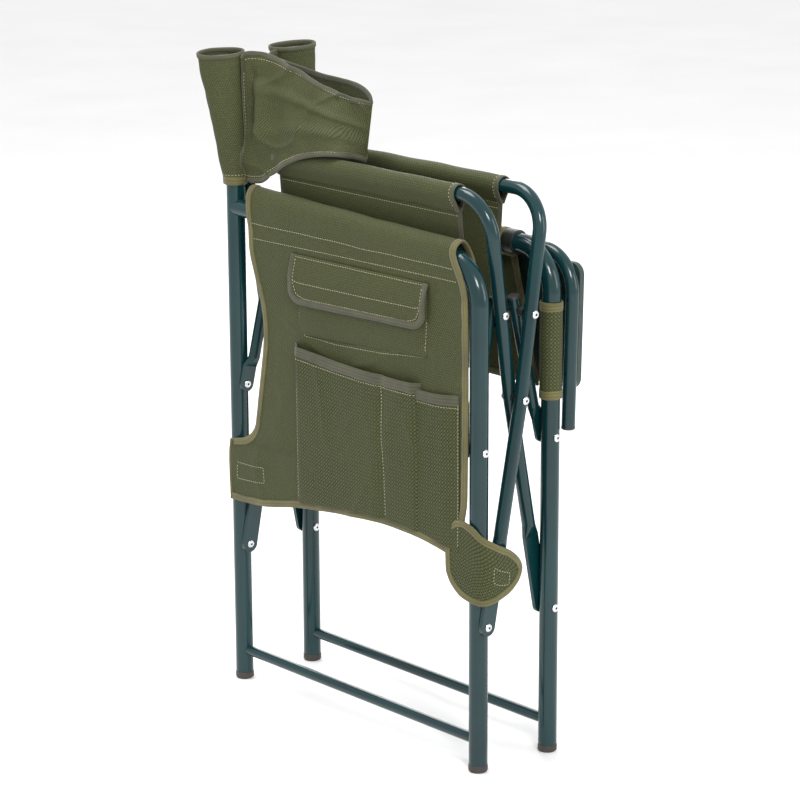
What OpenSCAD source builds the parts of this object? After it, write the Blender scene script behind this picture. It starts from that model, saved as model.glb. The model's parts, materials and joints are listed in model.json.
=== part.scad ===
// Steel folding chair of the director's kind, folded flat and standing on its feet.
// The sitter faces -Y. The right side frame is at -X and the left one at +X.
// Two U-shaped scissor frames cross between the side frames and carry the seat rails.

/* [Side frames] */
// Distance between the front and rear leg centre lines
side_depth = 423; // [380:1:480]
// Distance between the two side frames when folded
fold_width = 104; // [102:1:112]
// Height of the armrest tube's centre line
arm_height = 605; // [570:1:650]
// Height of the back posts
post_height = 784; // [740:1:850]
// Outer diameter of legs, posts and armrests
leg_d = 22; // [20:0.5:25]
// Wall of every tube
tube_wall = 1.2; // [0.8:0.1:1.6]
// Extra radius of the tube where it leans over at a shallow angle
bend_swell = 0.25; // [0.2:0.05:0.6]
// Bend radius where a front leg turns into the armrest
arm_bend_r = 50; // [40:1:60]
// Backward lean of the back posts above the armrest
post_lean = 9; // [4:0.5:12]
// Straight height above the armrest before a post leans back
post_lean_start = 36; // [34:1:50]
// Height of the lower rails' centre line
low_rail_height = 38; // [30:1:60]
// Diameter of the lower rails
low_rail_d = 12.5; // [10:0.5:16]
// Height of the foot plugs under the tubes
foot_h = 9; // [6:0.5:14]

/* [Scissor frames] */
// Diameter of the scissor tubes
scissor_d = 16; // [14:0.5:18]
// Height of the lower scissor pivots
low_pivot_height = 180; // [160:1:200]
// Height of the centre pivot when folded
centre_height = 440; // [420:1:460]
// Length from the centre pivot to the seat rail
rail_reach = 235; // [225:1:245]
// Slight inward set of the upper half of each scissor leg
scissor_set = 2.9; // [2.5:0.1:4]
// Bend radius of the seat rails
rail_bend_r = 45; // [38:1:55]
// Length of the flattened lower ends
flat_len = 104; // [100:1:130]
// Thickness of a flattened tube end
flat_t = 5; // [4:0.5:6]
// Width of a flattened scissor end
flat_w = 21; // [18:0.5:24]

/* [Links] */
// Height of the link pivots on the legs
link_height = 386; // [375:1:400]
// Length from the centre pivot to the upper link pivot
link_reach = 98.7; // [90:0.1:105]
// Diameter of the link tubes
link_d = 14; // [12:0.5:15]
// Length of link beyond its upper pivot
link_tip = 15; // [12:1:20]

/* [Rivets] */
// Shank diameter of the hollow rivets
rivet_d = 6; // [5:0.5:7]
// Diameter of the rivet heads
rivet_head_d = 9.5; // [8:0.5:11]
// Thickness of the washers between the scissor frames
washer_t = 1; // [0.8:0.1:2]

/* [Fabric] */
// Thickness of the cloth
cloth_t = 1; // [0.8:0.1:1.5]
// Length of the seat cloth from a rail to its middle fold
seat_half = 207; // [206:0.5:220]
// Bare rail left between a seat sleeve and the rail's bend
seat_margin = 2; // [1:0.5:20]
// Length of the back cloth from a post to its middle fold
back_half = 239; // [238:0.5:250]
// Part of the back cloth beside each sleeve that stays across the chair when folded
back_wing = 42; // [34:1:46]
// Lower end of the sleeves on the back posts
back_sleeve_low = 637; // [634:1:650]
// Diameter of a back sleeve at its top
back_sleeve_top_d = 50; // [40:1:60]
// Distance from the armrest down to the lower edge of the organiser
organizer_drop = 372; // [340:1:390]
// Distance from the armrest down to the hem of the left arm cover
arm_cover_drop = 170; // [140:1:190]

/* [Organiser pockets] */
// Depth of the open pockets
pocket_depth = 9; // [7:0.5:14]
// Width of both open pockets together
pocket_w = 275; // [230:1:300]
// Height of the open pockets
pocket_h = 184; // [140:1:200]
// Width of the front one of the two open pockets
pocket_split = 116; // [80:1:140]
// Width of the flap pocket
flap_w = 232; // [180:1:240]
// Height of the flap
flap_h = 60; // [50:1:80]
// Height of the pocket under the flap
flap_pocket_h = 85; // [70:1:100]

/* [Side table] */
// Diameter of the side table's tube
table_tube_d = 16; // [14:0.5:18]
// Distance of the table tube outside the left armrest
table_out = 25.5; // [24.5:0.5:30]
// Length of the table frame's arms
table_arm = 202; // [180:1:230]
// Span of the table frame between its arms
table_span = 395; // [360:1:410]
// Thickness of the table board
board_t = 7; // [5:0.5:10]
// Inward slant of the stored table
table_slant = 1.5; // [0:0.5:2]

/* [Hidden] */
$fn = 48;

paint = [0.07, 0.25, 0.26];
cloth = [0.31, 0.34, 0.20];
steel = [0.78, 0.79, 0.80];
plastic = [0.10, 0.09, 0.09];

leg_r = leg_d / 2;
scissor_r = scissor_d / 2;
link_r = link_d / 2;
rivet_hole_d = rivet_d + 0.16;
pivot_gap = 0.4;
// Where the straight runs stop short of the middle of a knee
knee_gap = 1;
cloth_gap = 0.2;
sleeve_r = leg_r + cloth_gap + cloth_t;
rail_sleeve_r = scissor_r + cloth_gap + cloth_t;
// Side panels hang from just below the rings of cloth round the arms
panel_top = arm_height - sqrt(2 * sleeve_r * cloth_t - cloth_t * cloth_t) - 0.3;

// Scissor geometry when folded
half_w = fold_width / 2;
pivot_rise = centre_height - low_pivot_height;
low_len = sqrt(half_w * half_w + pivot_rise * pivot_rise);
low_angle = atan2(half_w, pivot_rise);
up_angle = low_angle - scissor_set;
rail_x = rail_reach * sin(up_angle);
rail_z = centre_height + rail_reach * cos(up_angle);

// Planes of the frames along Y. Frame A runs behind the left legs, B before the right ones.
plane_step = scissor_d + 2 * bend_swell + washer_t + 0.2;
plane_a = plane_step / 2;
plane_b = -plane_step / 2;
leg_step = leg_r + pivot_gap + flat_t / 2;
right_y = plane_b + leg_step;
left_y = plane_a - leg_step;

// Links
link_up_x = link_reach * sin(up_angle);
link_up_z = centre_height + link_reach * cos(up_angle);
link_len = norm([half_w - link_up_x, link_up_z - link_height]);
link_angle = atan2(half_w - link_up_x, link_up_z - link_height);
link_gap = 1.6;
link_flat = 3.5;
link_flat_w = 19;
// Distance from a side frame's leg plane to the near face of its links
link_face = leg_r + link_gap;

// Cloth
seat_angle = asin(rail_x / seat_half);
back_angle = asin((half_w - back_wing) / (back_half - back_wing));
seat_cut = 46;
back_cut = 34;
seat_w = side_depth - 2 * rail_bend_r - plane_step - 2 * seat_margin;
panel_x = half_w + sleeve_r - cloth_t;

// Back posts and their cloth, measured along the leaning part
lean_z = arm_height + post_lean_start;
back_top = (post_height - lean_z) / cos(post_lean) + 6;
back_low = back_sleeve_low - lean_z;
back_panel_low = rail_z + rail_sleeve_r + 3 - lean_z;
back_dip = 24;

// Side table
table_x = half_w + table_out;
table_z = arm_height - 8;
table_front_y = -side_depth / 2 - 14;
table_rear_y = table_front_y + table_span;
table_bend_r = 45;
clamp_front_y = table_front_y + 70;
clamp_rear_y = table_rear_y - 60;
clamp_len = 16;

board_low = 160;
board_high = 12;
screw_rows = [-board_high - 40, -board_low + 22];
screw_head_h = 1.2;
plug_lip = 0.3;
flap_gap = 0.4;

// The origin is the centre of the whole object's base
x_min = -panel_x - cloth_t - pocket_depth - flap_gap;
x_max = table_x + (table_tube_d / 2 + board_t + screw_head_h + 0.05) * cos(table_slant)
    + screw_rows[0] * sin(table_slant);
tab_y = -side_depth / 2 + plane_b - scissor_r - 1.5;
y_min = min(tab_y - cloth_t, table_front_y - table_tube_d / 2 - plug_lip);
y_max = side_depth / 2 + right_y + back_top * sin(post_lean) + back_sleeve_top_d / 2 * cos(post_lean);
shift = [-(x_min + x_max) / 2, -(y_min + y_max) / 2, 0];

module at_frame() { translate(shift) children(); }

// Straight rod along +Z
module rod(d, h) { cylinder(d = d, h = h); }

// Quarter bend that starts upward at the origin and ends along +Y
module up_bend(d, r, a = 90) {
    translate([0, r, 0]) rotate([90, 0, -90]) rotate_extrude(angle = a) translate([r, 0]) circle(d = d);
}

// Slightly fuller ball where one straight run of tube meets the next at a shallow angle
module knee(d) { sphere(d = d + 2 * bend_swell); }

// Cylinder along Y that starts at y0
module y_rod(d, y0, len) { translate([0, y0, 0]) rotate([-90, 0, 0]) cylinder(d = d, h = len); }

module y_ring(d, hole, y0, len) {
    difference() {
        y_rod(d, y0, len);
        y_rod(hole, y0 - 1, len + 2);
    }
}

// Hollow rivet along Y: heads outside y0 and y1, open right through
module rivet(y0, y1, front = true, rear = true) {
    head_h = 1.8;
    difference() {
        union() {
            y_rod(rivet_d, y0 - (front ? 1 : 0), y1 - y0 + (front ? 1 : 0) + (rear ? 1 : 0));
            if (front) translate([0, y0, 0]) rotate([90, 0, 0]) rivet_head(head_h);
            if (rear) translate([0, y1, 0]) rotate([-90, 0, 0]) rivet_head(head_h);
        }
        y_rod(rivet_d / 2, y0 - 5, y1 - y0 + 10);
    }
}

module rivet_head(h) {
    rotate_extrude() polygon([
        [0, 0], [rivet_head_d / 2, 0], [rivet_head_d / 2, h * 0.35],
        [rivet_head_d / 2 * 0.82, h * 0.8], [rivet_head_d / 2 * 0.5, h], [0, h]]);
}

// ---- Side frames -------------------------------------------------------------

// Front leg and armrest as one run of tube
module leg_run(d, low, rear_end) {
    rise = arm_height - arm_bend_r;
    translate([0, 0, low]) rod(d, rise - low);
    translate([0, 0, rise]) up_bend(d, arm_bend_r);
    translate([0, arm_bend_r, arm_height]) y_rod(d, 0, rear_end - arm_bend_r);
}

module front_leg(side_x, side_y, pivot_faces) {
    bore = leg_d - 2 * tube_wall;
    at_frame() translate([side_x, side_y - side_depth / 2, 0]) difference() {
        leg_run(leg_d, foot_h, side_depth);
        leg_run(bore, foot_h - 1, side_depth + 1);
        translate([0, side_depth, arm_height - leg_d]) rod(leg_d, 2 * leg_d);
        for (z = [low_pivot_height, link_height])
            translate([0, 0, z]) y_rod(rivet_hole_d, -leg_d, 2 * leg_d);
    }
}

// Rear post: straight, then leaning back
module post_run(d, low, extra) {
    upper = (post_height - lean_z) / cos(post_lean);
    translate([0, 0, low]) rod(d, lean_z - low - knee_gap);
    translate([0, 0, lean_z]) knee(d);
    translate([0, 0, lean_z]) rotate([-post_lean, 0, 0])
        translate([0, 0, knee_gap]) rod(d, upper - knee_gap + extra);
}

module rear_post(side_x, side_y) {
    at_frame() translate([side_x, side_y + side_depth / 2, 0]) difference() {
        post_run(leg_d, foot_h, 0);
        post_run(leg_d - 2 * tube_wall, foot_h - 1, 1);
        for (z = [low_pivot_height, link_height])
            translate([0, 0, z]) y_rod(rivet_hole_d, -leg_d, 2 * leg_d);
    }
}

module lower_rail(side_x, side_y) {
    at_frame() translate([side_x, side_y, low_rail_height]) difference() {
        y_rod(low_rail_d, -side_depth / 2, side_depth);
        y_rod(low_rail_d - 2 * tube_wall, -side_depth / 2 - 1, side_depth + 2);
        for (s = [-1, 1]) translate([0, s * side_depth / 2, -leg_d]) rod(leg_d, 2 * leg_d);
    }
}

// Plug: a rounded pad under the tube and a stem inside it
module foot_plug() {
    pad_d = leg_d + 0.8;
    rotate_extrude() polygon([
        [0, 0], [pad_d / 2 - 2, 0], [pad_d / 2, 2], [pad_d / 2, foot_h - 0.8],
        [pad_d / 2 - 0.8, foot_h], [leg_r - tube_wall - 0.05, foot_h],
        [leg_r - tube_wall - 0.05, foot_h + 14], [leg_r - tube_wall - 1.5, foot_h + 16], [0, foot_h + 16]]);
}

module feet(side_x, side_y) {
    at_frame() for (s = [-1, 1]) translate([side_x, side_y + s * side_depth / 2, 0]) foot_plug();
}

module post_cap(side_x, side_y) {
    stem_r = leg_r - tube_wall - 0.05;
    at_frame() along_post(side_x, side_y) translate([0, 0, (post_height - lean_z) / cos(post_lean)])
        rotate_extrude() polygon([
            [0, -12], [stem_r, -12], [stem_r, 0], [leg_r, 0], [leg_r, 1.5], [leg_r - 1.5, 3], [0, 3]]);
}

// ---- Scissor frames ----------------------------------------------------------

// Upper half of a U frame, from the centre pivot to the rail, in its own upright plane
module scissor_top(d) {
    half = side_depth / 2;
    for (turn = [0, 180]) rotate([0, 0, turn]) translate([0, -half, 0]) {
        knee(d);
        translate([0, 0, knee_gap]) rod(d, rail_reach - rail_bend_r - knee_gap);
        translate([0, 0, rail_reach - rail_bend_r]) up_bend(d, rail_bend_r);
    }
    translate([0, 0, rail_reach]) y_rod(d, -half + rail_bend_r, side_depth - 2 * rail_bend_r);
}

// Lower half legs down to the flattened part, and a little past it by extra
module scissor_low(d, extra) {
    for (s = [-1, 1]) translate([0, s * side_depth / 2, -(low_len - flat_len) - extra])
        rod(d, low_len - flat_len + extra - knee_gap);
}

// Flattened end: a neck from round to flat, then a flat with a round tip
module flat_end() {
    neck = 16;
    hull() {
        translate([0, 0, flat_len - 1]) cylinder(d = scissor_d, h = 1, $fn = 32);
        translate([-flat_w / 2, -flat_t / 2, flat_len - neck]) cube([flat_w, flat_t, 1]);
    }
    translate([-flat_w / 2, -flat_t / 2, 0]) cube([flat_w, flat_t, flat_len - neck + 1]);
    y_rod(flat_w, -flat_t / 2, flat_t);
}

// lean_sign is -1 for the frame whose rail leans to -X
module scissor_frame(lean_sign, plane_y) {
    bore = scissor_d - 2 * tube_wall;
    at_frame() translate([0, plane_y, centre_height]) difference() {
        union() {
            rotate([0, lean_sign * up_angle, 0]) scissor_top(scissor_d);
            rotate([0, lean_sign * low_angle, 0]) {
                scissor_low(scissor_d, 2);
                for (s = [-1, 1]) translate([0, s * side_depth / 2, -low_len]) flat_end();
            }
        }
        rotate([0, lean_sign * up_angle, 0]) scissor_top(bore);
        rotate([0, lean_sign * low_angle, 0]) scissor_low(bore, 0);
        for (s = [-1, 1]) translate([0, s * side_depth / 2, 0]) {
            y_rod(rivet_hole_d, -scissor_d, 2 * scissor_d);
            rotate([0, lean_sign * low_angle, 0]) translate([0, 0, -low_len])
                y_rod(rivet_hole_d, -scissor_d, 2 * scissor_d);
            rotate([0, lean_sign * up_angle, 0]) translate([0, 0, link_reach])
                y_rod(rivet_hole_d, -scissor_d, 2 * scissor_d);
        }
    }
}

module centre_rivet_set() {
    for (s = [-1, 1]) translate([0, s * side_depth / 2, centre_height])
        rivet(plane_b - scissor_r - bend_swell, plane_a + scissor_r + bend_swell);
}

module centre_washer_set() {
    for (s = [-1, 1]) translate([0, s * side_depth / 2, centre_height])
        y_ring(14, rivet_hole_d, -washer_t / 2, washer_t);
}

// Rivets that hold the flattened ends to the legs
module low_rivet_set(side_x, side_y, plane_y) {
    y0 = min(side_y - leg_r, plane_y - flat_t / 2);
    y1 = max(side_y + leg_r, plane_y + flat_t / 2);
    for (s = [-1, 1]) translate([side_x, s * side_depth / 2, low_pivot_height]) rivet(y0, y1);
}

// ---- Links -------------------------------------------------------------------

// dir is +1 for a front link, which lies behind its leg, and -1 for a rear link
module link_frame(side, dir) {
    side_y = side < 0 ? right_y : left_y;
    translate([side * half_w, side_y - dir * side_depth / 2, link_height])
        rotate([0, -side * link_angle, 0]) children();
}

module link_bar(side, dir) {
    neck = 34;
    face = dir * link_face;
    axis_y = dir * (link_face + link_r);
    near = dir > 0 ? face : face - link_flat;
    at_frame() link_frame(side, dir) difference() {
        union() {
            translate([0, axis_y, neck]) rod(link_d, link_len + link_tip - neck);
            hull() {
                translate([0, axis_y, neck]) cylinder(d = link_d, h = 1, $fn = 32);
                translate([-link_flat_w / 2, near, neck - 12]) cube([link_flat_w, link_flat, 1]);
            }
            translate([-link_flat_w / 2, near, 0]) cube([link_flat_w, link_flat, neck - 11]);
            y_rod(link_flat_w, near, link_flat);
        }
        translate([0, axis_y, neck + 2]) rod(link_d - 2 * tube_wall, link_len + link_tip);
        y_rod(rivet_hole_d, -2 * leg_d, 4 * leg_d);
        translate([0, 0, link_len]) y_rod(rivet_hole_d, -2 * leg_d, 4 * leg_d);
    }
}

module link_plug(side, dir) {
    axis_y = dir * (link_face + link_r);
    link_frame(side, dir) translate([0, axis_y, link_len + link_tip])
        rotate_extrude() polygon([
            [0, -5], [link_r - tube_wall - 0.05, -5], [link_r - tube_wall - 0.05, 0],
            [link_r + 0.8, 0], [link_r + 0.8, 2], [link_r, 3], [0, 3]]);
}

// Short rivet at the open upper end of a link
module link_stud(side, dir) {
    near = link_face;
    far = link_face + link_d;
    link_frame(side, dir) translate([0, 0, link_len])
        if (dir > 0) rivet(near, far, false, true);
        else rivet(-far, -near, true, false);
}

module link_rivet(side, dir) {
    near = -leg_r;
    far = link_face + link_flat;
    link_frame(side, dir)
        if (dir > 0) rivet(near, far);
        else rivet(-far, -near);
}

// Rivets through the upper part of a scissor frame at its link pivots
module upper_rivet_set(side, plane_y) {
    for (s = [-1, 1]) translate([side * link_up_x, plane_y + s * side_depth / 2, link_up_z])
        rivet(-scissor_r, scissor_r, s < 0, s > 0);
}

// Spacer on a scissor leg that reaches to the face of the link
module link_spacer(side, dir) {
    side_y = side < 0 ? right_y : left_y;
    plane_y = side < 0 ? plane_a : plane_b;
    tube_face = plane_y + dir * scissor_r;
    link_near = side_y + dir * (link_face - pivot_gap);
    y0 = min(tube_face, link_near);
    translate([side * link_up_x, -dir * side_depth / 2, link_up_z])
        y_ring(12, rivet_hole_d, y0, abs(link_near - tube_face));
}

// ---- Side table --------------------------------------------------------------

module table_at() {
    translate([table_x, 0, table_z]) rotate([0, table_slant, 0]) children();
}

module table_run(d, extra) {
    len = table_arm - table_bend_r;
    for (e = [[table_front_y, 1], [table_rear_y, -1]])
        translate([0, e[0], 0]) rotate([0, 0, e[1] > 0 ? 0 : 180]) {
            translate([0, 0, -table_arm - extra]) rod(d, len + extra);
            translate([0, 0, -table_bend_r]) up_bend(d, table_bend_r);
        }
    y_rod(d, table_front_y + table_bend_r, table_span - 2 * table_bend_r);
}

module table_frame_solid() {
    table_at() difference() {
        table_run(table_tube_d, 0);
        table_run(table_tube_d - 2 * tube_wall, 1);
        for (y = [table_front_y, table_rear_y]) for (z = screw_rows)
            translate([0, y, z]) rotate([0, 90, 0]) cylinder(d = 3.2, h = 20, center = true);
    }
}

module table_board_solid() {
    length = table_span + 2 * 4;
    corner = 14;
    table_at() difference() {
        translate([table_tube_d / 2 + 0.05, table_front_y - 4, -board_low]) rotate([90, 0, 90])
            linear_extrude(board_t) union() {
                translate([corner, 0]) square([length - 2 * corner, board_low - board_high]);
                translate([0, corner]) square([length, board_low - board_high - 2 * corner]);
                for (x = [corner, length - corner]) for (z = [corner, board_low - board_high - corner])
                    translate([x, z]) circle(corner);
            }
        for (y = [table_front_y, table_rear_y]) for (z = screw_rows)
            translate([table_tube_d / 2, y, z]) rotate([0, 90, 0]) cylinder(d = 3.2, h = 20, center = true);
    }
}

module table_screw_set() {
    table_at() for (y = [table_front_y, table_rear_y]) for (z = screw_rows)
        translate([table_tube_d / 2 + board_t + 0.05, y, z]) rotate([0, -90, 0]) {
            translate([0, 0, -screw_head_h]) cylinder(d = 6.5, h = screw_head_h);
            cylinder(d = 3, h = board_t + 6);
        }
}

module table_plug_set() {
    stem_r = table_tube_d / 2 - tube_wall - 0.05;
    table_at() for (y = [table_front_y, table_rear_y]) translate([0, y, -table_arm])
        rotate([180, 0, 0]) rotate_extrude() polygon([
            [0, -10], [stem_r, -10], [stem_r, 0], [table_tube_d / 2 + plug_lip, 0],
            [table_tube_d / 2 + plug_lip, 1.6], [table_tube_d / 2 - 1, 3], [0, 3]]);
}

// Plastic clamp: grips the armrest and lets the table's rail turn in it
module table_clamp(y) {
    wall = 3.2;
    translate([0, y - clamp_len / 2, 0]) difference() {
        union() {
            translate([half_w, 0, arm_height]) y_rod(leg_d + 2 * wall, 0, clamp_len);
            translate([table_x, 0, table_z]) y_rod(table_tube_d + 2 * wall, 0, clamp_len);
            translate([half_w, 0, table_z - 5]) cube([table_out, clamp_len, 12]);
        }
        translate([half_w, 0, arm_height]) y_rod(leg_d + 0.1, -1, clamp_len + 2);
        translate([table_x, 0, table_z]) y_rod(table_tube_d + 0.16, -1, clamp_len + 2);
    }
}

// ---- Fabric stand-ins ----------------------------------------------------------

seat_front = -seat_w / 2;

// Sleeve round a seat rail
module seat_sleeve(side) {
    translate([side * rail_x, 0, rail_z])
        y_ring(2 * rail_sleeve_r, scissor_d + 2 * cloth_gap, seat_front, seat_w);
}

// Flat half of the hanging seat cloth, measured down from its rail
module seat_half_panel(side, start, stop) {
    translate([side * rail_x, seat_front, rail_z]) rotate([0, side * seat_angle, 0])
        translate([-cloth_t / 2, 0, -stop]) cube([cloth_t, seat_w, stop - start]);
}

// Frame along a leaning post whose Z runs up the post
module along_post(side_x, side_y) {
    translate([side_x, side_y + side_depth / 2, lean_z]) rotate([-post_lean, 0, 0]) children();
}

// Loose sleeve on a back post, wider at its top
module back_sleeve(side_x, side_y) {
    low_r = sleeve_r + 0.6;
    top_r = back_sleeve_top_d / 2;
    flare = back_panel_low + 4;
    at_frame() along_post(side_x, side_y) rotate_extrude() polygon([
        [low_r - cloth_t, back_low], [low_r, back_low], [low_r, flare], [top_r, back_top],
        [top_r - cloth_t, back_top], [low_r - cloth_t, flare]]);
}

// Part of the back cloth that runs from a sleeve towards the middle
module back_wing_panel(side) {
    start = back_sleeve_top_d / 2 + 1;
    at_frame() along_post(side * half_w, 0)
        translate([side < 0 ? start : 1.5 - back_wing, -cloth_t / 2, back_panel_low])
            cube([back_wing - start - 1.5, cloth_t, back_top - back_panel_low - 6]);
}

// Flat half of the back cloth, looped forward, measured from the end of its wing
module back_half_panel(side, start, stop) {
    at_frame() along_post(side * (half_w - back_wing), 0) rotate([0, 0, -side * back_angle])
        rotate([90, 0, 0]) translate([0, 0, start]) intersection() {
            translate([side < 0 ? -cloth_t : 0, back_panel_low, 0]) cube([cloth_t, back_top, stop - start]);
            rotate([0, -90, 0]) translate([0, 0, -2 * cloth_t]) linear_extrude(4 * cloth_t) polygon([
                [0, back_panel_low - 5], [stop - start, back_panel_low - 5],
                [stop - start, back_top - 12 - back_dip * stop / back_half],
                [0, back_top - 12 - back_dip * start / back_half]]);
        }
}

// ---- Right arm organiser -------------------------------------------------------

org_rear = side_depth / 2 - 27;
org_front = -side_depth / 2 + arm_bend_r + 1;
org_low = arm_height - organizer_drop;
org_x = -panel_x;
// The rear strap's lower and upper edge above the organiser's lowest level
tab_base = 5;
tab_top = 79;

module org_sleeve() {
    translate([-half_w, right_y, arm_height])
        y_ring(2 * sleeve_r, leg_d + 2 * cloth_gap, org_front, org_rear - org_front);
}

// Outline of the hanging panel in the YZ plane, given as [y, z]
function org_outline() = [
    [org_rear, panel_top], [org_rear - 13, arm_height - 45], [org_rear - 33, arm_height - 104],
    [org_rear - 38, arm_height - 134], [org_rear - 37, arm_height - 170], [org_rear - 24, arm_height - 225],
    [org_rear - 20, org_low + 108], [org_rear, org_low + 88], [side_depth / 2, org_low + tab_top],
    [side_depth / 2, org_low + tab_base], [org_rear - 27, org_low + 11], [86, org_low + 25],
    [13, org_low + 34], [-58, org_low + 39], [-side_depth / 2 + 84, org_low + 35],
    [-side_depth / 2 + 34, org_low + 24], [-side_depth / 2 + 34, org_low + 1],
    [-side_depth / 2 + 24, org_low - 15], [-side_depth / 2 - 9, org_low - 20],
    [-side_depth / 2 - 9, org_low + 56], [-side_depth / 2 + 18, org_low + 79],
    [-side_depth / 2 + 8, org_low + 97], [-side_depth / 2 + 8, arm_height - 60], [org_front, panel_top]];

module yz_sheet(x, t, pts) {
    translate([x, 0, 0]) rotate([90, 0, 90]) linear_extrude(t) polygon(pts);
}

module org_panel() {
    translate([0, right_y, 0]) yz_sheet(org_x - cloth_t, cloth_t, org_outline());
    // Band round the outside and back of the rear leg
    band_z = org_low + tab_base + 1;
    band_h = tab_top - tab_base - 2;
    translate([-half_w, right_y + side_depth / 2, band_z]) difference() {
        rod(2 * sleeve_r, band_h);
        translate([0, 0, -1]) rod(leg_d + 2 * cloth_gap, band_h + 2);
        translate([-sleeve_r - 1, -sleeve_r - 1, -1]) cube([2 * sleeve_r + 2, sleeve_r + 3, band_h + 2]);
    }
    translate([org_x - cloth_t, right_y + side_depth / 2 - 4, band_z]) cube([cloth_t, 8, band_h]);
}

// Open-topped box of cloth on the panel: open at its top only
module cloth_pocket(y0, width, low, height, depth) {
    translate([org_x - cloth_t - depth, right_y + y0, low]) difference() {
        cube([depth, width, height]);
        translate([cloth_t, cloth_t, cloth_t]) cube([depth - cloth_t - 0.4, width - 2 * cloth_t, height]);
    }
}

pocket_y = -side_depth / 2 + 20;
pocket_z = org_low + 41;

module org_pockets() {
    cloth_pocket(pocket_y, pocket_split, pocket_z, pocket_h - 4, pocket_depth);
    cloth_pocket(pocket_y + pocket_split, pocket_w - pocket_split, pocket_z, pocket_h, pocket_depth);
}

flap_y = -side_depth / 2 + 59;
flap_top = arm_height - 33;

module flap_pocket_solid() {
    cloth_pocket(flap_y + 5, flap_w - 10, flap_top - 12 - flap_pocket_h, flap_pocket_h, pocket_depth - 2);
}

module flap_solid() {
    corner = 22;
    x = org_x - cloth_t - pocket_depth - flap_gap;
    z0 = flap_top - flap_h;
    translate([x, right_y + flap_y, z0]) rotate([90, 0, 90]) linear_extrude(cloth_t) union() {
        translate([corner, 0]) square([flap_w - 2 * corner, flap_h]);
        translate([0, corner]) square([flap_w, flap_h - corner]);
        for (y = [corner, flap_w - corner]) translate([y, corner]) circle(corner);
    }
    translate([x + cloth_t / 2, right_y + flap_y, flap_top - cloth_t])
        cube([pocket_depth + flap_gap - cloth_t / 2 - 0.1, flap_w, cloth_t]);
}

// Open end of the front strap, curled round before the right front leg
module front_tab() {
    tab_low = org_low - 20;
    tab_h = 84;
    reach = 16;
    curl_r = 14;
    x0 = org_x - cloth_t;
    translate([0, tab_y, 0]) {
        translate([x0 + curl_r, 0, tab_low]) rotate([90, 0, 0]) linear_extrude(cloth_t) union() {
            square([reach - 10, tab_h - 12]);
            translate([reach - 10, (tab_h - 12) / 2]) circle((tab_h - 12) / 2);
        }
        translate([x0 + curl_r, curl_r - cloth_t, tab_low]) difference() {
            rod(2 * curl_r, tab_h - 12);
            translate([0, 0, -1]) rod(2 * (curl_r - cloth_t), tab_h);
            translate([0, -2 * curl_r, -1]) cube([2 * curl_r, 4 * curl_r, tab_h]);
            translate([-2 * curl_r, 0, -1]) cube([4 * curl_r, 2 * curl_r, tab_h]);
        }
    }
}

// ---- Left arm cover ------------------------------------------------------------

cover_front = clamp_front_y + clamp_len / 2 + 2;
cover_rear = clamp_rear_y - clamp_len / 2 - 2;
cover_low = arm_height - arm_cover_drop;

module cover_sleeve() {
    translate([half_w, 0, arm_height])
        y_ring(2 * sleeve_r, leg_d + 2 * cloth_gap, cover_front, cover_rear - cover_front);
}

module cover_panel() {
    yz_sheet(panel_x, cloth_t, [
        [cover_front, panel_top], [cover_rear, panel_top], [cover_rear + 20, cover_low],
        [left_y - side_depth / 2, cover_low], [left_y - side_depth / 2, cover_low + 106],
        [cover_front - 20, cover_low + 120]]);
}

module cover_tab() {
    translate([half_w, left_y - side_depth / 2, cover_low]) difference() {
        rod(2 * sleeve_r, 106);
        translate([0, 0, -1]) rod(leg_d + 2 * cloth_gap, 108);
        translate([0, 0, -1]) cube([2 * sleeve_r, 2 * sleeve_r, 108]);
    }
}

// ---- Nodes ---------------------------------------------------------------------

module right_front_leg() { color(paint) front_leg(-half_w, right_y); }
module right_rear_post() { color(paint) rear_post(-half_w, right_y); }
module right_lower_rail() { color(paint) lower_rail(-half_w, right_y); }
module right_feet() { color(plastic) feet(-half_w, right_y); }
module right_post_cap() { color(plastic) post_cap(-half_w, right_y); }
module left_front_leg() { color(paint) front_leg(half_w, left_y); }
module left_rear_post() { color(paint) rear_post(half_w, left_y); }
module left_lower_rail() { color(paint) lower_rail(half_w, left_y); }
module left_feet() { color(plastic) feet(half_w, left_y); }
module left_post_cap() { color(plastic) post_cap(half_w, left_y); }
module scissor_frame_a() { color(paint) scissor_frame(-1, plane_a); }
module scissor_frame_b() { color(paint) scissor_frame(1, plane_b); }
module centre_rivets() { color(steel) at_frame() centre_rivet_set(); }
module centre_washers() { color(plastic) at_frame() centre_washer_set(); }
module right_low_rivets() { color(steel) at_frame() low_rivet_set(-half_w, right_y, plane_b); }
module left_low_rivets() { color(steel) at_frame() low_rivet_set(half_w, left_y, plane_a); }
module right_link_rivets() { color(steel) at_frame() for (dir = [1, -1]) link_rivet(-1, dir); }
module left_link_rivets() { color(steel) at_frame() for (dir = [1, -1]) link_rivet(1, dir); }
module upper_rivets_a() { color(steel) at_frame() upper_rivet_set(-1, plane_a); }
module upper_rivets_b() { color(steel) at_frame() upper_rivet_set(1, plane_b); }
module link_spacer_a() { color(plastic) at_frame() link_spacer(-1, -1); }
module link_spacer_b() { color(plastic) at_frame() link_spacer(1, 1); }
module right_front_link() { color(paint) link_bar(-1, 1); }
module right_rear_link() { color(paint) link_bar(-1, -1); }
module left_front_link() { color(paint) link_bar(1, 1); }
module left_rear_link() { color(paint) link_bar(1, -1); }
module right_link_plugs() { color(plastic) at_frame() for (dir = [1, -1]) link_plug(-1, dir); }
module left_link_plugs() { color(plastic) at_frame() for (dir = [1, -1]) link_plug(1, dir); }
module right_link_studs() { color(steel) at_frame() for (dir = [1, -1]) link_stud(-1, dir); }
module left_link_studs() { color(steel) at_frame() for (dir = [1, -1]) link_stud(1, dir); }
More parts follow.
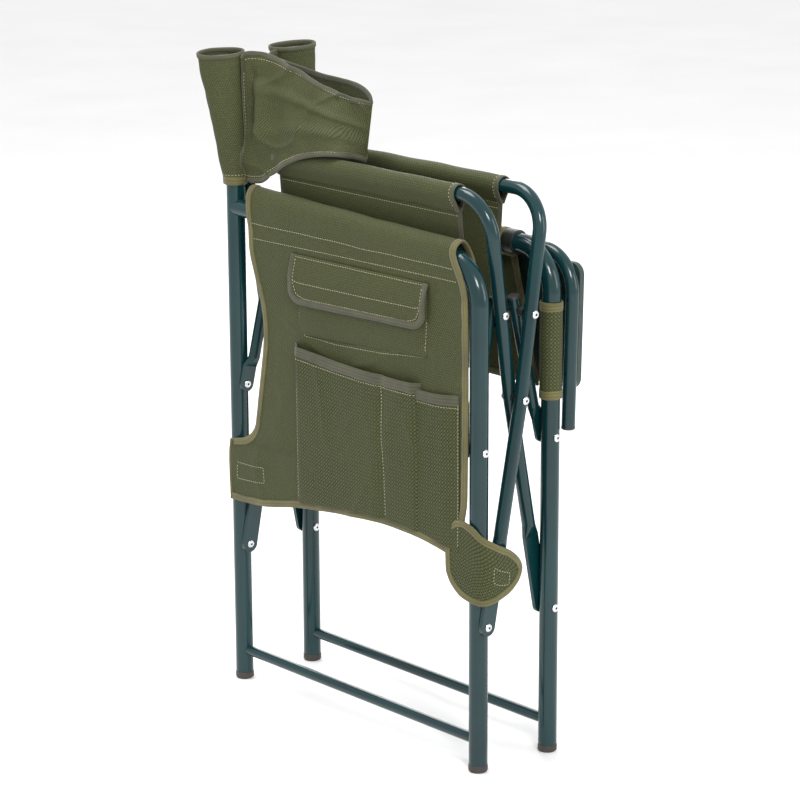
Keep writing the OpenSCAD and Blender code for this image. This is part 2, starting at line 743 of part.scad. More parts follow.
module table_frame() { color(paint) at_frame() table_frame_solid(); }
module table_plugs() { color(plastic) at_frame() table_plug_set(); }
module table_board() { color(plastic) at_frame() table_board_solid(); }
module table_screws() { color(steel) at_frame() table_screw_set(); }
module table_clamps() { color(plastic) at_frame() for (y = [clamp_front_y, clamp_rear_y]) table_clamp(y); }
module seat_sleeve_a() { color(cloth) at_frame() seat_sleeve(-1); }
module seat_sleeve_b() { color(cloth) at_frame() seat_sleeve(1); }
module seat_panel_a() { color(cloth) at_frame() seat_half_panel(-1, rail_sleeve_r + 0.6, seat_half - 5); }
module seat_panel_b() { color(cloth) at_frame() seat_half_panel(1, seat_cut, seat_half - 5); }
module back_sleeve_right() { color(cloth) back_sleeve(-half_w, right_y); }
module back_sleeve_left() { color(cloth) back_sleeve(half_w, left_y); }
module back_wing_right() { color(cloth) back_wing_panel(-1); }
module back_wing_left() { color(cloth) back_wing_panel(1); }
module back_panel_right() { color(cloth) back_half_panel(-1, 2, back_half - back_wing - 5); }
module back_panel_left() { color(cloth) back_half_panel(1, back_cut, back_half - back_wing - 5); }
module organizer_sleeve() { color(cloth) at_frame() org_sleeve(); }
module organizer_panel() { color(cloth) at_frame() org_panel(); }
module organizer_pockets() { color(cloth) at_frame() org_pockets(); }
module flap_pocket() { color(cloth) at_frame() flap_pocket_solid(); }
module pocket_flap() { color(cloth) at_frame() flap_solid(); }
module organizer_front_tab() { color(cloth) at_frame() front_tab(); }
module arm_cover_sleeve() { color(cloth) at_frame() cover_sleeve(); }
module arm_cover_panel() { color(cloth) at_frame() cover_panel(); }
module arm_cover_tab() { color(cloth) at_frame() cover_tab(); }

right_front_leg();
right_rear_post();
right_lower_rail();
right_feet();
right_post_cap();
left_front_leg();
left_rear_post();
left_lower_rail();
left_feet();
left_post_cap();
scissor_frame_a();
scissor_frame_b();
centre_rivets();
centre_washers();
right_low_rivets();
left_low_rivets();
right_link_rivets();
left_link_rivets();
upper_rivets_a();
upper_rivets_b();
link_spacer_a();
link_spacer_b();
right_front_link();
right_rear_link();
left_front_link();
left_rear_link();
right_link_plugs();
left_link_plugs();
right_link_studs();
left_link_studs();
table_frame();
table_plugs();
table_board();
table_screws();
table_clamps();
seat_sleeve_a();
seat_sleeve_b();
seat_panel_a();
seat_panel_b();
back_sleeve_right();
back_sleeve_left();
back_wing_right();
back_wing_left();
back_panel_right();
back_panel_left();
organizer_sleeve();
organizer_panel();
organizer_pockets();
flap_pocket();
pocket_flap();
organizer_front_tab();
arm_cover_sleeve();
arm_cover_panel();
arm_cover_tab();
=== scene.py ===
"""Folding chair, folded flat: cloth, trim, materials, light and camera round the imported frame."""
import json
import math

import bmesh
import bpy
from mathutils import Matrix, Vector, noise


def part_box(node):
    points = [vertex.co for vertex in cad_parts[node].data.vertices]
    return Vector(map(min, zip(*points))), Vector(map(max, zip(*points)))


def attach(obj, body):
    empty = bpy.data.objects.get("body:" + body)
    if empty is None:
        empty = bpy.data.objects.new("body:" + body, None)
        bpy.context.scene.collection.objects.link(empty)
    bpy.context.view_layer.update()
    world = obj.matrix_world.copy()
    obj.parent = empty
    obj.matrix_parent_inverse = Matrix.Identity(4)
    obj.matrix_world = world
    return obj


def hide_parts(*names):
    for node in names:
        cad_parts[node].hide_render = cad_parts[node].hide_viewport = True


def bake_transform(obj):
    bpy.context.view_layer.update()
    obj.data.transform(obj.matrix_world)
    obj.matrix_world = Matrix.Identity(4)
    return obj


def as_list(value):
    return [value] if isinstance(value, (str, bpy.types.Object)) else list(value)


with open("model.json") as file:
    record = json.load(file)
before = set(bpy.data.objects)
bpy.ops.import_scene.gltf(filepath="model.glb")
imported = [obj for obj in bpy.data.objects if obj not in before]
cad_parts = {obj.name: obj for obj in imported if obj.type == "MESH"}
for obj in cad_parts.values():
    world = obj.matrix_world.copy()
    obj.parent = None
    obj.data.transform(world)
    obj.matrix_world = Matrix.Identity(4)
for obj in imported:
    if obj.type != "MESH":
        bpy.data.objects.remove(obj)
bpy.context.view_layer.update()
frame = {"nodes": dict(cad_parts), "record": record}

MM = 0.001


def middle(node):
    lo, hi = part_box(node)
    return (Vector(lo) + Vector(hi)) / 2


ORIGIN = (middle("right_feet") + middle("left_feet")) / 2
ORIGIN.z = 0


def at(x, y, z):
    """A place given in millimetres from the middle of the four feet."""
    return ORIGIN + Vector((x, y, z)) * MM


def back(p):
    return (Vector(p) - ORIGIN) / MM


# ---- Camera, floor, light ---------------------------------------------------------

AZIMUTH, ELEVATION, ROLL = math.radians(-42.57), math.radians(15.35), math.radians(-0.26)
cam_data = bpy.data.cameras.new("camera")
cam_data.sensor_width = 36
cam_data.lens = 36 * 2930.27 / 800
camera = bpy.data.objects.new("camera", cam_data)
bpy.context.collection.objects.link(camera)
behind = Vector((math.sin(AZIMUTH) * math.cos(ELEVATION), -math.cos(AZIMUTH) * math.cos(ELEVATION),
                 math.sin(ELEVATION)))
side = Vector((math.cos(AZIMUTH), math.sin(AZIMUTH), 0))
up = behind.cross(side)
across = math.cos(ROLL) * side + math.sin(ROLL) * up
upright = -math.sin(ROLL) * side + math.cos(ROLL) * up
turn = Matrix((across, upright, behind)).transposed().to_4x4()
camera.matrix_world = Matrix.Translation(at(21.85, 5.13, 390.42) + 3.4996 * behind) @ turn
bpy.context.scene.camera = camera


def tree(name):
    mat = bpy.data.materials.new(name)
    mat.use_nodes = True
    nodes, links = mat.node_tree.nodes, mat.node_tree.links
    return mat, nodes, links, nodes["Principled BSDF"]


def add(nodes, kind, **values):
    node = nodes.new(kind)
    for key, value in values.items():
        if key.startswith("in_"):
            node.inputs[key[3:].replace("_", " ")].default_value = value
        else:
            setattr(node, key, value)
    return node


def noise_tex(nodes, links, scale, detail=4.0, coords="Object", rough=0.55):
    tex = add(nodes, "ShaderNodeTexNoise", in_Scale=scale, in_Detail=detail, in_Roughness=rough)
    where = add(nodes, "ShaderNodeTexCoord")
    links.new(where.outputs[coords], tex.inputs["Vector"])
    return tex.outputs["Fac"]


def ramp(nodes, links, fac, stops):
    r = add(nodes, "ShaderNodeValToRGB")
    el = r.color_ramp.elements
    while len(el) < len(stops):
        el.new(0.5)
    for e, (pos, col) in zip(el, stops):
        e.position = pos
        e.color = (*col, 1)
    links.new(fac, r.inputs["Fac"])
    return r.outputs["Color"]


def map_range(nodes, links, fac, a, b, c, d):
    m = add(nodes, "ShaderNodeMapRange")
    for i, v in enumerate((a, b, c, d)):
        m.inputs[i + 1].default_value = v
    links.new(fac, m.inputs[0])
    return m.outputs[0]


def math_node(nodes, links, op, a, b=None):
    m = add(nodes, "ShaderNodeMath", operation=op)
    for i, v in enumerate((a, b)):
        if v is None:
            continue
        if isinstance(v, (int, float)):
            m.inputs[i].default_value = v
        else:
            links.new(v, m.inputs[i])
    return m.outputs[0]


def mix_colour(nodes, links, fac, a, b, blend="MIX"):
    m = add(nodes, "ShaderNodeMix", data_type="RGBA", blend_type=blend)
    for socket, v in ((m.inputs[0], fac), (m.inputs[6], a), (m.inputs[7], b)):
        if isinstance(v, (int, float)):
            socket.default_value = v
        elif isinstance(v, tuple):
            socket.default_value = (*v, 1)
        else:
            links.new(v, socket)
    return m.outputs[2]


def bump(nodes, links, height, strength, distance, bsdf, over=None):
    b = add(nodes, "ShaderNodeBump", in_Strength=strength, in_Distance=distance)
    links.new(height, b.inputs["Height"])
    if over is not None:
        links.new(over, b.inputs["Normal"])
    if bsdf is not None:
        links.new(b.outputs["Normal"], bsdf.inputs["Normal"])
    return b.outputs["Normal"]


def paint_material():
    """Glossy powder coat: slight orange peel, colour drift, fine pale scuffs."""
    mat, n, l, bsdf = tree("green_paint")
    drift = ramp(n, l, noise_tex(n, l, 7), [(0.3, (0.002, 0.019, 0.022)), (0.7, (0.003, 0.032, 0.035))])
    scuff = map_range(n, l, noise_tex(n, l, 160, 6, rough=0.7), 0.70, 0.82, 0, 0.2)
    l.new(mix_colour(n, l, scuff, drift, (0.05, 0.13, 0.13)), bsdf.inputs["Base Color"])
    l.new(map_range(n, l, noise_tex(n, l, 45), 0.3, 0.7, 0.14, 0.24), bsdf.inputs["Roughness"])
    bsdf.inputs["Coat Weight"].default_value = 0.12
    bsdf.inputs["Specular IOR Level"].default_value = 0.36
    bsdf.inputs["Coat Roughness"].default_value = 0.12
    bump(n, l, noise_tex(n, l, 420, 2), 0.05, 0.0004, bsdf)
    return mat


def steel_material():
    mat, n, l, bsdf = tree("rivet_steel")
    bsdf.inputs["Metallic"].default_value = 1.0
    l.new(ramp(n, l, noise_tex(n, l, 900, 3), [(0.3, (0.52, 0.53, 0.54)), (0.7, (0.82, 0.83, 0.84))]),
          bsdf.inputs["Base Color"])
    l.new(map_range(n, l, noise_tex(n, l, 1500), 0.3, 0.7, 0.2, 0.42), bsdf.inputs["Roughness"])
    bump(n, l, noise_tex(n, l, 1800, 3), 0.15, 0.0002, bsdf)
    return mat


def plastic_material(name, low, high, rough, grain):
    mat, n, l, bsdf = tree(name)
    l.new(ramp(n, l, noise_tex(n, l, 60), [(0.3, low), (0.75, high)]), bsdf.inputs["Base Color"])
    l.new(map_range(n, l, noise_tex(n, l, 200), 0.3, 0.7, rough - 0.08, rough + 0.1),
          bsdf.inputs["Roughness"])
    bump(n, l, noise_tex(n, l, grain, 2), 0.25, 0.0004, bsdf)
    return mat


def weave_height(n, l, pitch):
    """Plain weave from the cloth's own UV map, which is in metres along the threads."""
    uv = add(n, "ShaderNodeUVMap", uv_map="Threads")
    split = add(n, "ShaderNodeSeparateXYZ")
    l.new(uv.outputs[0], split.inputs[0])
    waves = []
    for axis in (0, 1):
        turns = math_node(n, l, "MULTIPLY", split.outputs[axis], 2 * math.pi / pitch)
        waves.append(math_node(n, l, "SINE", turns))
    cross = math_node(n, l, "MULTIPLY", waves[0], waves[1])
    ribs = math_node(n, l, "ADD", waves[0], waves[1])
    both = math_node(n, l, "ADD", cross, math_node(n, l, "MULTIPLY", ribs, 0.22))
    return map_range(n, l, both, -1.2, 1.2, 0, 1)


def fabric_material(name, pitch, dark, light, strength=0.5):
    """Coarse coated polyester: over-and-under threads with painted shade in their hollows, slub, and large
    soft patches of painted sheen.
    """
    mat, n, l, bsdf = tree(name)
    height = weave_height(n, l, pitch)
    slub = noise_tex(n, l, 420, 3)
    # Painted shade: the weave's low hollows get the near-black dark colour and the raised threads get the
    # light olive.
    threads = ramp(n, l, height, [(0.12, dark), (0.5, tuple((a + b) / 2 for a, b in zip(dark, light))),
                                  (0.9, light)])
    # Painted sheen: in large soft patches the weave is blended toward one flat mid olive, standing in for the
    # cloth's satin sheen.
    drift = map_range(n, l, noise_tex(n, l, 9, 5), 0.25, 0.75, 0, 0.4)
    tint = mix_colour(n, l, drift, threads, tuple(c * 0.72 for c in light))
    worn = map_range(n, l, slub, 0.4, 0.8, 0, 0.3)
    l.new(mix_colour(n, l, worn, tint, tuple(min(1, c * 1.35) for c in light)), bsdf.inputs["Base Color"])
    l.new(map_range(n, l, height, 0, 1, 0.78, 0.55), bsdf.inputs["Roughness"])
    bsdf.inputs["Specular IOR Level"].default_value = 0.22
    bsdf.inputs["Sheen Weight"].default_value = 0.04
    bsdf.inputs["Sheen Roughness"].default_value = 0.4
    soft = bump(n, l, noise_tex(n, l, 70, 4), 0.25, 0.0015, None)
    fine = bump(n, l, slub, 0.2, 0.0002, None, soft)
    bump(n, l, height, strength, 0.00035, bsdf, fine)
    return mat


def tape_material(name, dark, light):
    """Ribbed binding tape; U runs along the tape."""
    mat, n, l, bsdf = tree(name)
    uv = add(n, "ShaderNodeUVMap", uv_map="Threads")
    split = add(n, "ShaderNodeSeparateXYZ")
    l.new(uv.outputs[0], split.inputs[0])
    rib = math_node(n, l, "SINE", math_node(n, l, "MULTIPLY", split.outputs[0], 2 * math.pi / 0.0011))
    weft = math_node(n, l, "SINE", math_node(n, l, "MULTIPLY", split.outputs[1], 2 * math.pi / 0.0016))
    both = math_node(n, l, "ADD", rib, math_node(n, l, "MULTIPLY", weft, 0.5))
    height = map_range(n, l, both, -1.5, 1.5, 0, 1)
    # Painted shade: the rib hollows get the dark colour and the rib crowns get the light tape colour.
    base = ramp(n, l, height, [(0.1, dark), (0.9, light)])
    drift = map_range(n, l, noise_tex(n, l, 35, 5), 0.3, 0.75, 0, 0.55)
    l.new(mix_colour(n, l, drift, base, tuple(c * 0.7 for c in dark)), bsdf.inputs["Base Color"])
    bsdf.inputs["Roughness"].default_value = 0.72
    bsdf.inputs["Sheen Weight"].default_value = 0.15
    bump(n, l, height, 0.5, 0.0003, bsdf)
    return mat


def thread_material():
    mat, n, l, bsdf = tree("stitching")
    l.new(ramp(n, l, noise_tex(n, l, 700, 3), [(0.3, (0.22, 0.20, 0.11)), (0.7, (0.42, 0.39, 0.25))]),
          bsdf.inputs["Base Color"])
    bsdf.inputs["Roughness"].default_value = 0.65
    bump(n, l, noise_tex(n, l, 2500, 2), 0.4, 0.0002, bsdf)
    return mat


def floor_material():
    mat, n, l, bsdf = tree("floor_pale")
    l.new(ramp(n, l, noise_tex(n, l, 3), [(0.3, (0.86, 0.86, 0.86)), (0.7, (0.9, 0.9, 0.9))]),
          bsdf.inputs["Base Color"])
    bsdf.inputs["Roughness"].default_value = 0.6
    return mat


PAINT, STEEL = paint_material(), steel_material()
TRIM = plastic_material("trim_plastic", (0.008, 0.010, 0.010), (0.022, 0.024, 0.022), 0.42, 900)
FOOT = plastic_material("foot_plastic", (0.020, 0.015, 0.012), (0.045, 0.036, 0.030), 0.5, 700)
BOARD = plastic_material("board_plastic", (0.012, 0.030, 0.026), (0.024, 0.048, 0.040), 0.48, 1400)
# In both olive fabrics the dark colour is painted shade in the weave's hollows, and the light colour is the
# threads' own olive.
OLIVE_DARK, OLIVE_LIGHT = (0.002, 0.004, 0.001), (0.078, 0.086, 0.031)
CLOTH = fabric_material("olive_fabric", 0.0030, OLIVE_DARK, OLIVE_LIGHT, 0.7)
GRID = fabric_material("olive_grid", 0.0044, (0.001, 0.002, 0.001), (0.072, 0.082, 0.028), 0.95)
# In both tapes the dark colour is painted shade in the rib hollows, and the light colour is the tape's own.
TAPE = tape_material("binding_tape", (0.040, 0.036, 0.008), (0.170, 0.150, 0.042))
HEM = tape_material("olive_tape", (0.018, 0.020, 0.008), (0.085, 0.084, 0.036))
THREAD = thread_material()

NODE_MATERIAL = {"green_paint": PAINT, "rivet_steel": STEEL, "trim_plastic": TRIM,
                 "foot_plastic": FOOT, "board_plastic": BOARD, "olive_fabric": CLOTH}
for part in frame["record"]["subparts"]:
    obj = frame["nodes"][part["node"]]
    for i in range(max(1, len(obj.data.materials))):
        if i < len(obj.data.materials):
            obj.data.materials[i] = NODE_MATERIAL[part["material_slot"]]
        else:
            obj.data.materials.append(NODE_MATERIAL[part["material_slot"]])

bpy.ops.mesh.primitive_plane_add(size=14, location=(0, 0, 0))
floor = bpy.context.object
floor.name = "floor"
floor.data.materials.append(floor_material())

world = bpy.context.scene.world or bpy.data.worlds.new("world")
bpy.context.scene.world = world
world.use_nodes = True
world.node_tree.nodes["Background"].inputs[0].default_value = (1.0, 1.0, 1.0, 1)
world.node_tree.nodes["Background"].inputs[1].default_value = 0.98
bpy.context.scene.view_settings.view_transform = "Standard"


def area_light(name, place, aim, size, watts, tall=None):
    data = bpy.data.lights.new(name, "AREA")
    data.shape = "RECTANGLE"
    data.size, data.size_y, data.energy = size, tall or size, watts
    lamp = bpy.data.objects.new(name, data)
    bpy.context.collection.objects.link(lamp)
    lamp.location = place
    lamp.rotation_euler = (Vector(aim) - Vector(place)).to_track_quat("-Z", "Y").to_euler()


area_light("key", (-1.5, -2.9, 2.5), (0, 0, 0.45), 0.9, 74)
area_light("front", (1.4, -3.0, 1.3), (0, 0, 0.4), 0.8, 20, 1.8)
area_light("top", (-0.4, 0.6, 3.2), (0, 0, 0.3), 1.4, 60)
area_light("rear", (1.8, 2.4, 1.6), (0, 0, 0.5), 1.4, 26)

# ---- Cloth tools ------------------------------------------------------------------


def smooth(points, t):
    """Place on a smooth curve through the points; t runs from 0 to 1."""
    count = len(points) - 1
    x = min(max(t, 0.0), 1.0) * count
    i = min(int(x), count - 1)
    f = x - i
    p = [points[min(max(i + k, 0), count)] for k in (-1, 0, 1, 2)]
    out = []
    for a, b, c, d in zip(*p):
        out.append(0.5 * (2 * b + (c - a) * f + (2 * a - 5 * b + 4 * c - d) * f * f
                          + (3 * b - a - 3 * c + d) * f ** 3))
    return out


def table(rows, x):
    """Smooth curve through rows of (x, y), sorted by x."""
    if x <= rows[0][0]:
        return rows[0][1]
    for i in range(len(rows) - 1):
        (x0, y0), (x1, y1) = rows[i], rows[i + 1]
        if x <= x1:
            before, after = rows[max(i - 1, 0)], rows[min(i + 2, len(rows) - 1)]
            m0, m1 = (y1 - before[1]) / (x1 - before[0]), (after[1] - y0) / (after[0] - x0)
            f, w = (x - x0) / (x1 - x0), x1 - x0
            return ((2 * f ** 3 - 3 * f * f + 1) * y0 + (f ** 3 - 2 * f * f + f) * w * m0
                    + (3 * f * f - 2 * f ** 3) * y1 + (f ** 3 - f * f) * w * m1)
    return rows[-1][1]


def crumple(x, y, z, scale, seed):
    return noise.noise(Vector((x / scale + seed, y / scale, z / scale)))


def crease(x, y, z, scale, seed):
    """Sharp ridged folds between 0 and 1."""
    return 1 - min(1, abs(noise.noise(Vector((x / scale, y / scale + seed, z / scale)))) * 2.2)


def mesh_object(name, verts, faces, uvs, mat, shade=True):
    me = bpy.data.meshes.new(name)
    me.from_pydata(verts, [], faces)
    layer = me.uv_layers.new(name="Threads")
    for loop in me.loops:
        layer.data[loop.index].uv = uvs[loop.vertex_index]
    me.materials.append(mat)
    if shade:
        me.polygons.foreach_set("use_smooth", [True] * len(me.polygons))
    me.validate()
    me.update()
    obj = bpy.data.objects.new(name, me)
    bpy.context.collection.objects.link(obj)
    return obj


class Sheet:
    """A sheet of cloth: place(u, v) gives millimetres, u and v run from 0 to 1."""

    def __init__(self, place, thick=1.1):
        self.place, self.thick = place, thick

    def at(self, u, v):
        return at(*self.place(u, v))

    def normal(self, u, v):
        e = 0.002
        du = self.at(min(u + e, 1), v) - self.at(max(u - e, 0), v)
        dv = self.at(u, min(v + e, 1)) - self.at(u, max(v - e, 0))
        n = du.cross(dv)
        return n.normalized() if n.length > 1e-12 else Vector((-1, 0, 0))

    def build(self, name, nu, nv, mat=None, closed=False):
        half = self.thick * MM / 2
        rows = nu if closed else nu + 1
        mid = [[self.at(i / nu, j / nv) for j in range(nv + 1)] for i in range(rows)]
        verts, uvs = [], []
        along_u = [[0.0] * (nv + 1) for _ in range(rows)]
        along_v = [[0.0] * (nv + 1) for _ in range(rows)]
        for i in range(rows):
            for j in range(nv + 1):
                if i:
                    along_u[i][j] = along_u[i - 1][j] + (mid[i][j] - mid[i - 1][j]).length
                if j:
                    along_v[i][j] = along_v[i][j - 1] + (mid[i][j] - mid[i][j - 1]).length
        norms = []
        for i in range(rows):
            for j in range(nv + 1):
                a = mid[(i - 1) % rows if closed else max(i - 1, 0)][j]
                b = mid[(i + 1) % rows if closed else min(i + 1, rows - 1)][j]
                c, d = mid[i][max(j - 1, 0)], mid[i][min(j + 1, nv)]
                n = (b - a).cross(d - c)
                norms.append(n.normalized() if n.length > 1e-14 else Vector((-1, 0, 0)))
        for way in (1, -1):
            for i in range(rows):
                for j in range(nv + 1):
                    verts.append(mid[i][j] + norms[i * (nv + 1) + j] * half * way)
                    uvs.append((along_u[i][j], along_v[i][j]))
        w, size = nv + 1, rows * (nv + 1)
        faces = []
        for i in range(nu if closed else rows - 1):
            k = (i + 1) % rows
            for j in range(nv):
                a, b, c, d = i * w + j, k * w + j, k * w + j + 1, i * w + j + 1
                faces.append((a, b, c, d))
                faces.append((size + d, size + c, size + b, size + a))
            for j, flip in ((0, False), (nv, True)):
                a, b = i * w + j, k * w + j
                quad = (a, size + a, size + b, b)
                faces.append(quad[::-1] if flip else quad)
        if not closed:
            for j in range(nv):
                for i, flip in ((0, True), (rows - 1, False)):
                    a, b = i * w + j, i * w + j + 1
                    quad = (a, size + a, size + b, b)
                    faces.append(quad[::-1] if flip else quad)
        self.area = sum((mid[(i + 1) % rows][j] - mid[i][j]).cross(mid[i][j + 1] - mid[i][j]).length
                        for i in range(nu if closed else rows - 1) for j in range(nv))
        obj = mesh_object(name, verts, faces, uvs, mat or CLOTH)
        print(f"SHEET {name} area {self.area:.4f}")
        return obj

    def path(self, pts, step=4.0, closed=False):
        """Evenly spaced (place, normal) along a polyline of (u, v)."""
        fine = []
        ends = list(zip(pts, pts[1:] + (pts[:1] if closed else [])))[:None if closed else len(pts) - 1]
        for (u0, v0), (u1, v1) in ends:
            count = max(2, int((self.at(u1, v1) - self.at(u0, v0)).length / MM / 1.5))
            fine += [(u0 + (u1 - u0) * k / count, v0 + (v1 - v0) * k / count) for k in range(count)]
        if not closed:
            fine.append(pts[-1])
        places = [self.at(u, v) for u, v in fine]
        if closed:
            places.append(places[0])
            fine.append(fine[0])
        run = [0.0]
        for a, b in zip(places, places[1:]):
            run.append(run[-1] + (b - a).length)
        total = run[-1]
        count = max(2, int(round(total / MM / step)))
        out, k = [], 0
        for i in range(count + (0 if closed else 1)):
            want = total * i / count
            while k < len(run) - 2 and run[k + 1] < want:
                k += 1
            f = (want - run[k]) / max(run[k + 1] - run[k], 1e-9)
            u = fine[k][0] + (fine[k + 1][0] - fine[k][0]) * f
            v = fine[k][1] + (fine[k + 1][1] - fine[k][1]) * f
            out.append((self.at(u, v), self.normal(u, v)))
        return out


def tape(name, path, inward, width=7.5, height=1.5, mat=None, closed=False):
    """Binding tape folded over an edge. inward is a place that the tape's flat side points to."""
    verts, uvs, faces = [], [], []
    profile = [(-1.0, -0.75), (-1.5, 0), (-1.0, 0.75), (0.6, 1.0), (width * 0.5, 1.08), (width - 0.5, 1.0),
               (width, 0.8), (width, -0.8), (width - 0.5, -1.0), (width * 0.5, -1.08), (0.6, -1.0)]
    ring, count, run = len(profile), len(path), 0.0
    for i, (p, n) in enumerate(path):
        q = path[(i + 1) % count if closed else min(i + 1, count - 1)][0]
        o = path[(i - 1) % count if closed else max(i - 1, 0)][0]
        tangent = (q - o).normalized()
        m = n.cross(tangent).normalized()
        aim = inward if isinstance(inward, Vector) else inward(p)
        if m.dot(aim - p) < 0:
            m = -m
        if i:
            run += (p - path[i - 1][0]).length
        rough = 1 + 0.12 * noise.noise(p * 70)
        for k, (a, b) in enumerate(profile):
            verts.append(p + m * a * MM * rough + n * b * height * MM)
            uvs.append((run, k * width * 2 / ring * MM))
    for i in range(count if closed else count - 1):
        for k in range(ring):
            a, b = i * ring + k, i * ring + (k + 1) % ring
            c, d = ((i + 1) % count) * ring + (k + 1) % ring, ((i + 1) % count) * ring + k
            faces.append((a, b, c, d))
    if not closed:
        faces.append(tuple(range(ring))[::-1])
        faces.append(tuple((count - 1) * ring + k for k in range(ring)))
    obj = mesh_object(name, verts, faces, uvs, mat or TAPE)
    fix_normals(obj)
    return obj


def fix_normals(obj):
    bm = bmesh.new()
    bm.from_mesh(obj.data)
    bmesh.ops.recalc_face_normals(bm, faces=bm.faces)
    bm.to_mesh(obj.data)
    bm.free()


def stitches(name, paths, lift=0.75, long=2.7, gap=1.3, radius=0.42, body=None):
    """Rows of short thread stitches; each path is a list of (place, normal)."""
    verts, faces, uvs = [], [], []
    sides = 6
    for path in paths:
        run = [0.0]
        for (a, _), (b, _) in zip(path, path[1:]):
            run.append(run[-1] + (b - a).length)

        def spot(want):
            for k in range(len(run) - 1):
                if run[k + 1] >= want:
                    break
            f = (want - run[k]) / max(run[k + 1] - run[k], 1e-9)
            return (path[k][0].lerp(path[k + 1][0], f), path[k][1].lerp(path[k + 1][1], f).normalized())

        x = 0.0
        while x + long * MM < run[-1]:
            (p, n), (q, _) = spot(x), spot(x + long * MM)
            t = (q - p).normalized()
            s = n.cross(t).normalized()
            start = len(verts)
            for a, r, dip in ((0, 0.35, -0.35), (0.2, 1, 0), (0.8, 1, 0), (1, 0.35, -0.35)):
                c = p.lerp(q, a) + n * (lift + dip) * MM
                for k in range(sides):
                    ang = 2 * math.pi * k / sides
                    verts.append(c + (s * math.cos(ang) + n * math.sin(ang)) * radius * r * MM)
                    uvs.append((x, k * 0.0004))
            for i in range(3):
                for k in range(sides):
                    faces.append((start + i * sides + k, start + i * sides + (k + 1) % sides,
                                  start + (i + 1) * sides + (k + 1) % sides, start + (i + 1) * sides + k))
            faces.append(tuple(start + k for k in range(sides))[::-1])
            faces.append(tuple(start + 3 * sides + k for k in range(sides)))
            x += (long + gap) * MM
    obj = mesh_object(name, verts, faces, uvs, THREAD)
    fix_normals(obj)
    if body:
        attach(obj, body)
    return obj


def flip(path):
    return [(p, -n) for p, n in path]


# ---- Measures taken from the frame ------------------------------------------------

RAIL_A, RAIL_B = back(middle("seat_sleeve_a")), back(middle("seat_sleeve_b"))
SEAT_Y0, SEAT_Y1 = back(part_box("seat_sleeve_a")[0]).y, back(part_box("seat_sleeve_a")[1]).y
POST_R, POST_L = back(middle("right_feet")), back(middle("left_feet"))
HALF_DEPTH = (back(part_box("right_feet")[1]).y - back(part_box("right_feet")[0]).y) / 2 - 11.4
SEAT_LOW = back(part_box("seat_panel_a")[0]).z
BACK_TOP = back(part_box("back_sleeve_right")[1]).z - 4
LEAN, LEAN_Z = math.radians(9), 641
PANEL_X = back(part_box("organizer_panel")[0]).x + 0.5

# ---- Organiser on the right arm ---------------------------------------------------

# Cross-section of the sleeve as (x, z), from its inner seam over the tube to the outside
SLEEVE = [(PANEL_X + 3.5, 583), (PANEL_X + 10, 586), (-43.5, 592), (-38.6, 602), (-39.5, 613), (-46, 622.5),
          (-54, 622.5), (-61.5, 616), (PANEL_X - 0.8, 604), (PANEL_X - 0.6, 588)]
REAR = [(238, 225), (312, 224), (321, 192), (336, 173), (356, 167), (374, 164), (408, 158), (446, 152),
        (471, 151), (501, 156), (530, 166), (559, 175), (590, 177), (625, 184)]
FRONT = [(250, -184), (266, -188), (300, -194), (330, -199), (560, -199), (590, -190), (612, -178),
         (625, -176)]
HEM_LINE = [(0, 238), (0.16, 243), (0.34, 257), (0.52, 266), (0.7, 271), (0.86, 268), (1, 257)]
SPLIT = 0.26


def organiser(u, v):
    """u runs from the rear to the front, v from the sleeve's inner seam down to the hem."""
    if v < SPLIT:
        x, z = smooth(SLEEVE, v / SPLIT)
        y = table(REAR, z + 4) + (table(FRONT, z) - table(REAR, z + 4)) * u
        x += crumple(y, z, 3, 42, 3) * 0.9
        z += crumple(y, x, 8, 60, 5) * 1.2 + 12 * (1 - u) ** 1.3 * min(1, max(0, (z - 598) / 24))
        return x, y, z
    t = (v - SPLIT) / (1 - SPLIT)
    low = table(HEM_LINE, u)
    z = 588 + (low - 588) * t
    rear, front = table(REAR, z), table(FRONT, z)
    y = rear + (front - rear) * u
    edge = min(1, min(u, 1 - u) * 7) * min(1, t * 5)
    x = PANEL_X - 0.9
    x -= edge * (1.2 + 1.5 * crumple(y, z, 0, 95, 1) + 0.9 * crumple(y, z, 0, 38, 7))
    x -= edge * 1.6 * crease(y * 0.6, z + y * 0.25, 0, 90, 11) ** 6
    if y > POST_R.y + HALF_DEPTH - 2:
        over = y - (POST_R.y + HALF_DEPTH - 2)
        a = over / 12.9
        x = -52 - 12.9 * math.cos(a)
        y = POST_R.y + HALF_DEPTH - 2 + 12.9 * math.sin(a)
    return x, y, z


org = Sheet(organiser)
org_obj = org.build("organizer_cloth", 150, 190)


def v_at(z, u=0.5):
    return SPLIT + (1 - SPLIT) * (588 - z) / (588 - table(HEM_LINE, u))


def u_at(y, z):
    rear, front = table(REAR, z), table(FRONT, z)
    return (y - rear) / (front - rear)


def org_path(points, step=2.0):
    uv = []
    for y, z in points:
        u = u_at(y, z)
        uv.append((u, v_at(z, u)))
    return org.path(uv, step)


rear_edge = org.path([(0, 0.01)] + [(0, i / 60) for i in range(1, 61)], 4)
front_edge = org.path([(1, i / 60) for i in range(0, 61)], 4)
hem = org.path([(i / 40, 1) for i in range(41)], 4)


def level(dy):
    """A place beside p, so that a tape's flat side points along Y."""
    return lambda p: p + Vector((0, dy, 0))


def above(p):
    return p + Vector((0, 0, 1))


def below(p):
    return p - Vector((0, 0, 1))


def facing_out(path):
    """Normals turned to -X, by the way the first one looks."""
    return flip(path) if path[0][1].x > 0 else path


